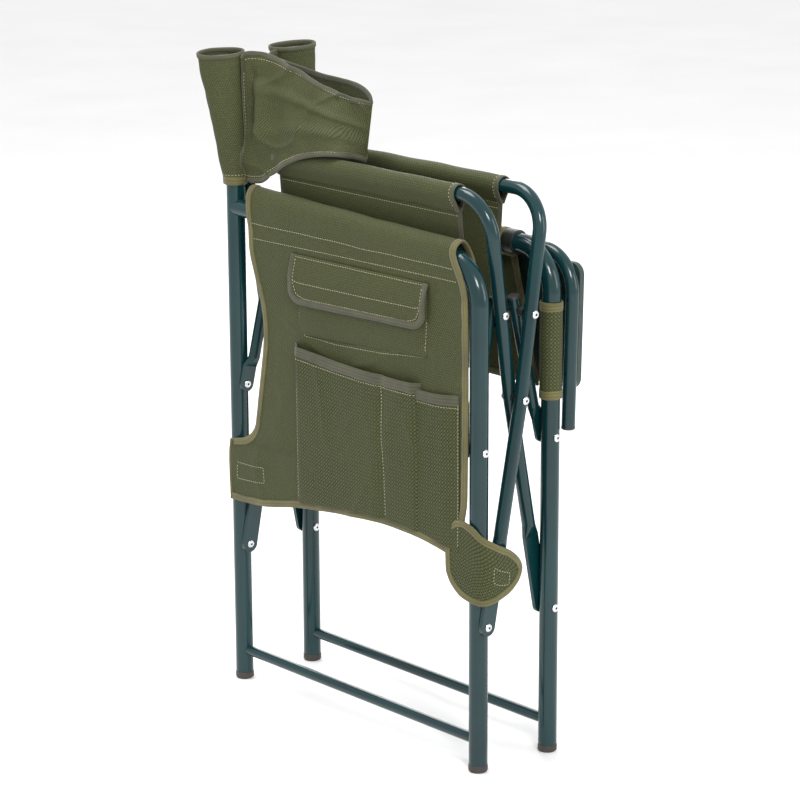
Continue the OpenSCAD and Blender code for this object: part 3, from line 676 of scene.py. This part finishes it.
org_trim = [tape("organizer_rear_binding", rear_edge, level(-1)),
            tape("organizer_front_binding", front_edge, level(1)),
            tape("organizer_hem_binding", hem, above)]
lines = [org.path([(0.02, SPLIT - 0.012), (0.97, SPLIT - 0.012)], 2),
         org_path([(172, 575), (90, 576.5), (0, 578), (-90, 579), (-186, 580)]),
         org_path([(206, 288), (156, 291), (154, 272), (207, 267), (206, 288)])]
hem_row = [0.01 + i * 0.0245 for i in range(41)]
lines.append(org.path([(u, v_at(table(HEM_LINE, u) + 5, u)) for u in hem_row], 2))
# the pocket seams and the stitched edge of the pocket under the flap
lines.append(org_path([(86, 540), (84, 500), (80, 482), (74, 472), (20, 471), (-60, 476), (-134, 484)]))
lines.append(org_path([(-134, 484), (-137, 530)]))
org_threads = stitches("organizer_stitches", [facing_out(p) for p in lines], body="side_right")

# ---- Open pockets -----------------------------------------------------------------

STAND = 8.2


def pocket(rear, front, top, sag, fold):
    """A pocket sheet from (u=0) its rear seam round to its front seam."""
    def place(u, v):
        y = rear + (front - rear) * u
        rise = min(1, u / 0.05, (1 - u) / fold)
        rise = rise * rise * (3 - 2 * rise)
        ur = min(max(u_at(y, 300), 0), 1)
        low = table(HEM_LINE, ur) + 7
        high = top[0] + (top[1] - top[0]) * u - sag * math.sin(math.pi * u)
        z = high + (low - high) * v
        out = (STAND if rear > 0 else 0.45 * STAND) * (1 - 0.45 * v) * rise
        if rear > 0:
            out -= 2.6 * math.exp(-((u - 0.715) / 0.03) ** 2)
        out += rise * (1.5 * crumple(y, z, 4, 70, 21) + 0.8 * crumple(y, z, 9, 26, 25))
        out += rise * 1.3 * crease(y + z * 0.2, z * 0.3, 0, 60, 31) ** 5
        return PANEL_X - 2.4 - max(0.3, out), y, z
    return Sheet(place)


for name, rear, front, top, sag, fold in (("rear_pocket", 92, -128, (459, 452), 4.0, 0.05),
                                          ("front_pocket", -112, -189, (445, 449), 1.5, 0.35)):
    p = pocket(rear, front, top, sag, fold)
    obj = p.build("organizer_" + name, 90, 70, GRID)
    rim = tape(f"organizer_{name}_hem", p.path([(i / 40, 0.0) for i in range(41)], 4), below,
               11, 1.1, HEM)
    seams = [p.path([(0.012, 0.03), (0.012, 0.97)], 2), p.path([(0.985, 0.03), (0.985, 0.97)], 2),
             p.path([(i / 30, 0.075) for i in range(31)], 2)]
    if name == "rear_pocket":
        seams.append(p.path([(0.71, 0.01), (0.725, 0.99)], 2))
    th = stitches(f"organizer_{name}_stitches", [facing_out(s) for s in seams],
                  body="side_right")
    for o in (obj, rim):
        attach(o, "side_right")
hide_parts("organizer_pockets")


def under_flap(u, v):
    y = 84 + (-137 - 84) * u
    low = 472 + 12 * u
    z = 560 + (low - 560) * v
    rise = min(1, u * 14, (1 - u) * 14, (1 - v) * 8)
    return PANEL_X - 3.0 - rise * (2.3 + crumple(y, z, 2, 60, 41)), y, z


flat_pocket = Sheet(under_flap)
flat_obj = flat_pocket.build("organizer_flap_pocket", 70, 34)
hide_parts("flap_pocket")
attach(flat_obj, "side_right")


FLAP_REAR, FLAP_FRONT = 96, -139


def flap_place(u, v):
    """The flap: v runs from its seam down to its rounded lower edge."""
    y = FLAP_REAR + (FLAP_FRONT - FLAP_REAR) * u
    top = 569 + 2 * u
    corner = 20
    inset = min(y - FLAP_FRONT, FLAP_REAR - y)
    drop = 58 - 5 * u
    if inset < corner:
        drop -= corner - math.sqrt(max(0, corner ** 2 - (corner - inset) ** 2))
    z = top - drop * v
    swell = math.sin(min(1, v * 1.6) * math.pi / 2)
    out = 3.2 + swell * (5.8 + 1.6 * crumple(y, z, 1, 70, 51)) + 0.5 * crumple(y, z, 5, 20, 53)
    return PANEL_X - out, y, z


flap = Sheet(flap_place)
flap_obj = flap.build("pocket_flap_cloth", 96, 30)
edge_uv = [(0.004, i / 12) for i in range(13)] + [(i / 60, 0.995) for i in range(1, 60)] \
    + [(0.996, 1 - i / 12) for i in range(13)]
flap_tape = tape("pocket_flap_binding", flap.path(edge_uv, 3), flap.at(0.5, 0.3), 7, 1.3, HEM)
flap_lines = [flap.path([(0.03 + i * 0.0315, 0.56) for i in range(31)], 2),
              flap.path([(0.035, 0.1), (0.035, 0.6), (0.06, 0.8), (0.12, 0.87), (0.88, 0.87), (0.94, 0.8),
                         (0.965, 0.6), (0.965, 0.1)], 2),
              flap.path([(0.03, 0.05), (0.97, 0.05)], 2)]
flap_thread = stitches("pocket_flap_stitches", [facing_out(p) for p in flap_lines], body="flap")
for o in (flap_obj, flap_tape):
    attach(o, "flap")
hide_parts("pocket_flap")

# ---- Front strap ------------------------------------------------------------------

STRAP = [(PANEL_X - 2.2, -168), (PANEL_X - 2.6, -190), (PANEL_X - 2.4, -212), (PANEL_X + 1.5, -224),
         (PANEL_X + 10, -230.5), (-42, -232.2), (-24, -232.4), (-8, -231)]
STRAP_TOP = [(0, 290), (0.12, 303), (0.25, 301), (0.4, 291), (0.6, 282), (0.8, 271), (0.93, 258), (1, 246)]
STRAP_LOW = [(0, 240), (0.06, 226), (0.16, 214), (0.38, 209), (0.6, 212), (0.8, 219), (0.93, 230), (1, 242)]


def strap_place(u, v):
    x, y = smooth(STRAP, u)
    hi, lo = table(STRAP_TOP, u), table(STRAP_LOW, u)
    z = hi + (lo - hi) * v
    k = 0.8 * crumple(x, y, z, 30, 61)
    return x - (k if u < 0.45 else 0), y - (k if u >= 0.45 else 0), z


strap = Sheet(strap_place)
strap_obj = strap.build("organizer_front_strap", 70, 44, GRID)
loop_uv = [(i / 40, 0.004) for i in range(41)] + [(1, i / 4) for i in range(1, 4)] \
    + [(1 - i / 40, 0.996) for i in range(41)] + [(0, 1 - i / 6) for i in range(1, 6)]
strap_tape = tape("organizer_front_strap_binding", strap.path(loop_uv, 3, closed=True),
                  strap.at(0.5, 0.5), 6.5, 1.4, closed=True)
strap_thread = stitches("organizer_front_strap_stitches", [
    [(p, n if n.dot(Vector((-1, -1, 0))) > 0 else -n) for p, n in
     strap.path([(0.6, 0.40), (0.82, 0.52), (0.81, 0.80), (0.59, 0.66), (0.6, 0.40)], 2)]], body="side_right")
for o in (strap_obj, strap_tape, org_obj, *org_trim):
    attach(o, "side_right")
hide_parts("organizer_front_tab")
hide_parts("organizer_sleeve", "organizer_panel")

# ---- Left arm cover ---------------------------------------------------------------

cover_lo, cover_hi = back(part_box("arm_cover_sleeve")[0]), back(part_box("arm_cover_sleeve")[1])
COVER = [(62.5, 585), (52, 590), (41.5, 592), (38.8, 604), (43, 614.5), (52, 618.2), (61, 614.8), (64.9, 605),
         (64.9, 588)]


def cover_place(u, v):
    y = cover_hi.y + (cover_lo.y - cover_hi.y) * u
    if v < 0.35:
        x, z = smooth(COVER, v / 0.35)
        return x, y, z + 0.6 * crumple(y, z, 0, 40, 71)
    t = (v - 0.35) / 0.65
    z = 588 + (438 - 588) * t
    y += 12 * t * (1 - 2 * u) - 26 * t * u
    return 64.9 + 1.0 * min(1, t * 4) * crumple(y, z, 0, 60, 73), y, z


cover = Sheet(cover_place)
cover_obj = cover.build("arm_cover_cloth", 90, 80)
cover_trim = [tape("arm_cover_rear_binding", cover.path([(0, i / 30) for i in range(31)], 4), level(-1)),
              tape("arm_cover_front_binding", cover.path([(1, i / 30) for i in range(31)], 4), level(1)),
              tape("arm_cover_hem_binding", cover.path([(i / 30, 1) for i in range(31)], 4), above)]
cover_thread = stitches("arm_cover_stitches", [cover.path([(0.02, 0.37), (0.98, 0.37)], 2),
                                               flip(cover.path([(0.02, 0.37), (0.98, 0.37)], 2)),
                                               cover.path([(0.02, 0.93), (0.98, 0.93)], 2)], body="side_left")
for o in (cover_obj, *cover_trim):
    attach(o, "side_left")
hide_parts("arm_cover_sleeve", "arm_cover_panel")

wrap_lo, wrap_hi = back(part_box("arm_cover_tab")[0]), back(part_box("arm_cover_tab")[1])
WRAP_Y = POST_L.y - HALF_DEPTH


def wrap_place(u, v):
    a = 2 * math.pi * u
    z = wrap_hi.z + 3 + (wrap_lo.z - 2 - wrap_hi.z - 3) * v
    r = 12.6 + 0.35 * crumple(math.cos(a) * 20, math.sin(a) * 20, z, 26, 81)
    return 52 + r * math.cos(a), WRAP_Y + r * math.sin(a), z


wrap = Sheet(wrap_place)
wrap_obj = wrap.build("arm_cover_strap", 56, 60, GRID, closed=True)
wrap_trim = []
for name, v, goal in (("upper", 0.0, below), ("lower", 1.0, above)):
    ring = [(wrap.at(i / 48, v), wrap.normal(min(i / 48, 0.999), v)) for i in range(48)]
    wrap_trim.append(tape(f"arm_cover_strap_{name}_binding", ring, goal, 9, 1.0, closed=True))
for o in (wrap_obj, *wrap_trim):
    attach(o, "side_left")
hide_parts("arm_cover_tab")

# ---- Seat -------------------------------------------------------------------------


def seat_profile(sign, rail):
    """(x, z) from the seam under the rail, round the outside and over the top, down to the middle."""
    x, z = rail.x, rail.z
    offsets = [(-0.5, -21), (-4.5, -13), (-9.8, -3), (-8.6, 6), (-1.0, 10.4), (7.4, 6.5), (9.6, -2),
               (6.4, -12), (1.8, -22)]
    return [(x + sign * dx, z + dz) for dx, dz in offsets]


def seat_sleeve(sign, rail):
    loop = seat_profile(-sign, rail)

    def place(u, v):
        x, z = smooth(loop, v)
        y = SEAT_Y1 + (SEAT_Y0 - SEAT_Y1) * u
        return (x + 0.5 * crumple(y, z, sign, 34, 91), y, z + 0.9 * crumple(y, x, sign, 50, 93))
    return Sheet(place)


def seat_half(sign, rail):
    seam = (rail.x - sign * 2.0, rail.z - 17)
    way = [seam, (rail.x * 0.86, rail.z - 50), (rail.x * 0.66, rail.z - 95), (rail.x * 0.42, rail.z - 145),
           (rail.x * 0.24, rail.z - 180), (rail.x * 0.12, SEAT_LOW + 4.5), (0, SEAT_LOW + 1.5)]

    def place(u, v):
        x, z = smooth(way, v)
        y = SEAT_Y1 + (SEAT_Y0 - SEAT_Y1) * u
        swell = math.sin(math.pi * v) ** 0.8
        x += sign * swell * (1.8 * crumple(y, z, sign * 40, 80, 95) + 0.7 * crumple(y, z, sign * 40, 30, 97))
        z += 2.0 * v * v * math.sin(math.pi * u)
        return x, y, z
    return Sheet(place)


def seat_pieces(side_name, sign, rail, frame_body):
    sleeve, half = seat_sleeve(sign, rail), seat_half(sign, rail)
    sleeve_obj = sleeve.build(f"seat_sleeve_cloth_{side_name}", 80, 48)
    half_obj = half.build(f"seat_cloth_{side_name}", 80, 60)
    trims = []
    for tag, u, dy in (("rear", 0, -1), ("front", 1, 1)):
        trims.append(tape(f"seat_sleeve_{side_name}_{tag}_hem",
                          sleeve.path([(u, i / 24) for i in range(25)], 3),
                          level(dy), 4.5, 1.0, HEM))
        trims.append(tape(f"seat_cloth_{side_name}_{tag}_hem", half.path([(u, i / 30) for i in range(31)], 3),
                          level(dy), 5, 1.0, HEM))
    rows = [half.path([(0.01 + i * 0.049, v) for i in range(21)], 2) for v in (0.03, 0.065)]
    rows += [flip(r) for r in rows]
    ends = [sleeve.path([(u, 0.1), (u, 0.9)], 2) for u in (0.02, 0.98)]
    ends = [[(p, n if n.dot(p - at(rail.x, back(p).y, rail.z)) > 0 else -n) for p, n in e] for e in ends]
    sleeve_thread = stitches(f"seat_sleeve_stitches_{side_name}", ends, body=frame_body)
    half_thread = stitches(f"seat_stitches_{side_name}", rows)
    return sleeve, half, sleeve_obj, half_obj, trims, sleeve_thread, half_thread


sa, ha, sleeve_a, half_a, trims_a, th_sa, th_ha = seat_pieces("a", -1, RAIL_A, "scissor_a")
sb, hb, sleeve_b, half_b, trims_b, th_sb, th_hb = seat_pieces("b", 1, RAIL_B, "scissor_b")
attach(sleeve_a, "scissor_a")
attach(sleeve_b, "scissor_b")
for trims, frame_body in ((trims_a, "scissor_a"), (trims_b, "scissor_b")):
    for o in (trims[0], trims[2]):
        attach(o, frame_body)
for o in (half_a, th_ha, trims_a[1], trims_a[3]):
    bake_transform(o)
for o in (half_b, th_hb, trims_b[1], trims_b[3]):
    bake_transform(o)
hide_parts("seat_sleeve_a")
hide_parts("seat_sleeve_b")
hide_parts("seat_panel_a")
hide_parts("seat_panel_b")
for s, o, rest, extra in ((sa, sleeve_a, "scissor_frame_a", [trims_a[0], trims_a[2], th_sa]),
                          (sb, sleeve_b, "scissor_frame_b", [trims_b[0], trims_b[2], th_sb]),
                          (ha, half_a, "scissor_frame_a", [trims_a[1], trims_a[3], th_ha]),
                          (hb, half_b, "scissor_frame_b", [trims_b[1], trims_b[3], th_hb])):
    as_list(extra)

# ---- Back -------------------------------------------------------------------------

LOW_Z = back(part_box("back_sleeve_right")[0]).z
VIEW_ACROSS = Vector((math.cos(AZIMUTH), math.sin(AZIMUTH), 0))
VIEW_ALONG = Vector((-math.sin(AZIMUTH), math.cos(AZIMUTH), 0))


def back_sleeve(px, py, seed):
    """Sleeve on a leaning post: round below, flattened and open at its top."""
    def place(u, v):
        t = 1 - v
        z = LOW_Z + (BACK_TOP - LOW_Z) * t
        cy = py + max(0, z - LEAN_Z) * math.tan(LEAN)
        a = 2 * math.pi * u
        wide = 13.6 + 13.8 * t ** 1.1
        deep = 13.7
        ripple = 1 + 0.09 * abs(crumple(math.cos(a) * 30, math.sin(a) * 30, z, 34, seed))
        p = (VIEW_ACROSS * math.cos(a) * wide + VIEW_ALONG * math.sin(a) * deep) * ripple
        z += 3.0 * t * math.sin(a + 0.8) + 1.6 * t * crumple(a * 9, z, seed, 20, seed)
        return px + p.x, cy + p.y, z
    return Sheet(place, 1.3)


for tag, px, post, body in (("right", -52, POST_R, "side_right"), ("left", 52, POST_L, "side_left")):
    s = back_sleeve(px, post.y + HALF_DEPTH, 101 if tag == "right" else 131)
    obj = s.build(f"back_sleeve_cloth_{tag}", 72, 84, closed=True)
    rim = [(s.at(i / 64, 0.0), s.normal(min(max(i / 64, 0.001), 0.998), 0.004)) for i in range(64)]
    low = [(s.at(i / 64, 1.0), s.normal(min(max(i / 64, 0.001), 0.998), 0.996)) for i in range(64)]
    trims = [tape(f"back_sleeve_{tag}_rim", rim, below, 4, 1.5, HEM, True),
             tape(f"back_sleeve_{tag}_binding", low, above, 8.5, 1.1, closed=True)]
    thread = stitches(f"back_sleeve_{tag}_stitches", [
        [(p, n if n.dot(p - at(px, back(p).y, back(p).z)) > 0 else -n) for p, n in
         s.path([(i / 60, 0.93) for i in range(60)], 2)]], body=body)
    for o in (obj, *trims):
        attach(o, body)
    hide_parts(f"back_sleeve_{tag}")
    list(trims)

TOP_PATH = [(-43, 213, 784), (-36, 215, 791), (-24, 203, 792.5), (-18, 185, 790), (-17, 160, 784),
            (-16, 136, 775), (-14, 106, 763), (-11, 80, 755), (-6, 50, 750), (-0.5, 26, 748)]
LOW_PATH = [(-46, 202, 641), (-45, 198.5, 638), (-47, 172.6, 641), (-49, 151, 654), (-50, 124, 668.5),
            (-50, 99, 679.5), (-47, 66, 687), (-36, 46, 688), (-16, 40, 684), (-0.5, 38, 678)]


def near_place(u, v):
    """Near half of the back cloth: u from the right sleeve to the middle fold, v from top to bottom."""
    top, low = smooth(TOP_PATH, u), smooth(LOW_PATH, u)
    x, y, z = (a + (b - a) * v for a, b in zip(top, low))
    w = math.sin(math.pi * v)
    body = min(1, u * 5) * min(1, (1 - u) * 6)
    valley = math.exp(-((u - 0.12 - 0.07 * v) / 0.055) ** 2) * w
    crest = math.exp(-((u - 0.27 + 0.05 * v) / 0.08) ** 2) * math.exp(-((v - 0.55) / 0.24) ** 2)
    valley *= 1 - min(1, max(0, (v - 0.5) / 0.25))
    x += 12 * valley - 12 * crest
    x -= 5 * math.exp(-((u - 0.1) / 0.1) ** 2) * math.exp(-((v - 0.85) / 0.14) ** 2)
    y -= 6 * valley
    fold_a = math.exp(-((v - 0.34 - 0.25 * (u - 0.5)) / 0.055) ** 2)
    fold_b = math.exp(-((v - 0.66 - 0.12 * (u - 0.5)) / 0.07) ** 2)
    x -= body * (3.2 * fold_a + 3.6 * fold_b * min(1, u * 2))
    x -= body * (4.2 * crumple(y, z, 0, 48, 151) + 2.0 * crumple(y, z, 0, 22, 153))
    x -= body * 3.4 * crease(y * 0.7 + z * 0.4, z - y * 0.3, 0, 60, 155) ** 5
    z -= 2.5 * body * (1 - v) * math.sin(u * 5.2)
    return min(x, 0), y, z


def far_place(u, v):
    """Far half: u from the middle fold to the left wing."""
    top = [(-0.5, 26, 748), (1.5, 33, 758), (5, 55, 765), (10, 95, 767), (13, 140, 769), (13, 185, 775),
           (11, 225, 780)]
    low = [(-0.5, 38, 678), (4, 46, 682), (10, 75, 687), (14, 112, 687), (15, 148, 687), (14, 183, 687),
           (11, 218, 686)]
    a, b = smooth(top, u), smooth(low, u)
    x, y, z = (p + (q - p) * v for p, q in zip(a, b))
    body = min(1, u * 6)
    x += body * (1.6 + 1.8 * crumple(y, z, 5, 55, 161) + 0.9 * crumple(y, z, 5, 22, 163))
    return x, y, z


def wing_place(u, v):
    """Left wing: from the end of the far half to the left sleeve."""
    top = [(11, 225, 780), (17, 231, 782), (28, 234, 784), (42, 232, 785)]
    low = [(11, 218, 686), (18, 221, 685), (29, 221, 684), (41, 218, 683)]
    a, b = smooth(top, u), smooth(low, u)
    x, y, z = (p + (q - p) * v for p, q in zip(a, b))
    return x, y + 1.2 * math.sin(math.pi * v) * crumple(x, z, 0, 40, 171), z


near, far, wing = Sheet(near_place), Sheet(far_place), Sheet(wing_place)
near_obj = near.build("back_cloth_near", 150, 90)
far_obj = far.build("back_cloth_far", 90, 60)
wing_obj = wing.build("back_cloth_wing", 30, 60)


def rim_set(tag, sheet, count=50):
    return [tape(f"back_{tag}_top_hem", sheet.path([(i / count, 0) for i in range(count + 1)], 3),
                 below, 5, 1.1, HEM),
            tape(f"back_{tag}_low_hem", sheet.path([(i / count, 1) for i in range(count + 1)], 3),
                 above, 5, 1.1, HEM)]


near_trim, far_trim, wing_trim = rim_set("near", near), rim_set("far", far), rim_set("wing", wing, 16)
seam = tape("back_near_seam", near.path([(0.03, 0.01 + i * 0.02) for i in range(50)], 3), level(1), 6, 1.0,
            HEM)
near_thread = stitches("back_near_stitches", [
    [(p, n if n.x < 0 else -n) for p, n in near.path([(0.06, 0.03 + i * 0.047) for i in range(21)], 2)],
    [(p, n if n.x < 0 else -n) for p, n in near.path([(0.06 + i * 0.03, 0.955) for i in range(31)], 2)],
    [(p, n if n.x < 0 else -n) for p, n in near.path([(0.06 + i * 0.03, 0.05) for i in range(31)], 2)]])
for o in (near_obj, seam, near_thread, *near_trim):
    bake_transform(o)
for o in (far_obj, *far_trim):
    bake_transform(o)
for o in (wing_obj, *wing_trim):
    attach(o, "side_left")
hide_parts("back_panel_right", "back_wing_right")
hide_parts("back_panel_left")
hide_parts("back_wing_left")
